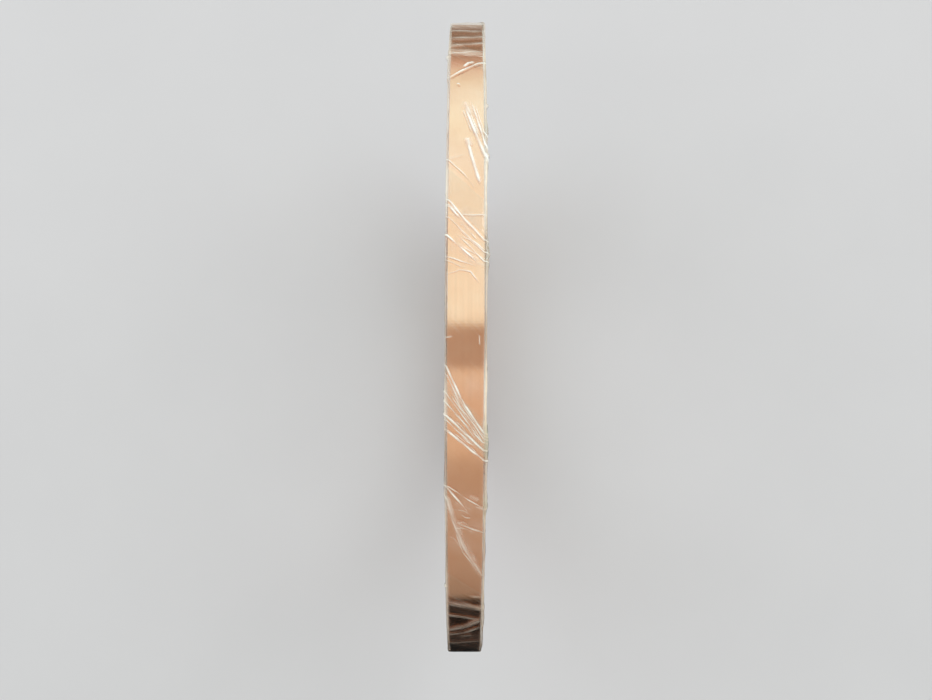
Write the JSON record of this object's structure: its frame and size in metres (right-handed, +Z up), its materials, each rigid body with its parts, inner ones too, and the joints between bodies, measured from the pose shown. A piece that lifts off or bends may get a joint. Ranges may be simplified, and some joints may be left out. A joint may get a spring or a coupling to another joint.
{
  "type": "copper foil tape roll",
  "caption": "Narrow ring-shaped roll of adhesive copper foil tape on a thin paperboard core, wrapped in creased clear film, with an open round bore.",
  "frame": {"origin": "centre of the core's bore, halfway across the tape's width", "axes": "+Y along the roll's axis, +Z up with the roll standing on its rim, +X across the roll in the plane of its faces"},
  "size_m": [0.1112, 0.0056, 0.1112],
  "materials": {
    "core_liner_board": "smooth kraft face, matt",
    "core_board": "grey-brown recycled board, cut edge",
    "tape_edges": "edges of stacked copper foil and white paper",
    "release_paper": "smooth white siliconised paper",
    "adhesive": "clear, slightly yellow pressure-sensitive adhesive",
    "copper_foil": "bright rolled copper, softly glossy",
    "clear_film": "clear glossy stretch film with white creases"
  },
  "bodies": {
    "root": {"core_ply_1": "core_liner_board", "core_ply_2": "core_board", "core_ply_3": "core_board", "core_ply_4": "core_board", "core_ply_5": "core_liner_board", "wound_tape": "tape_edges", "outer_liner": "release_paper", "outer_adhesive": "adhesive", "outer_foil": "copper_foil", "film_wrap": "clear_film"}
  },
  "joints": []
}
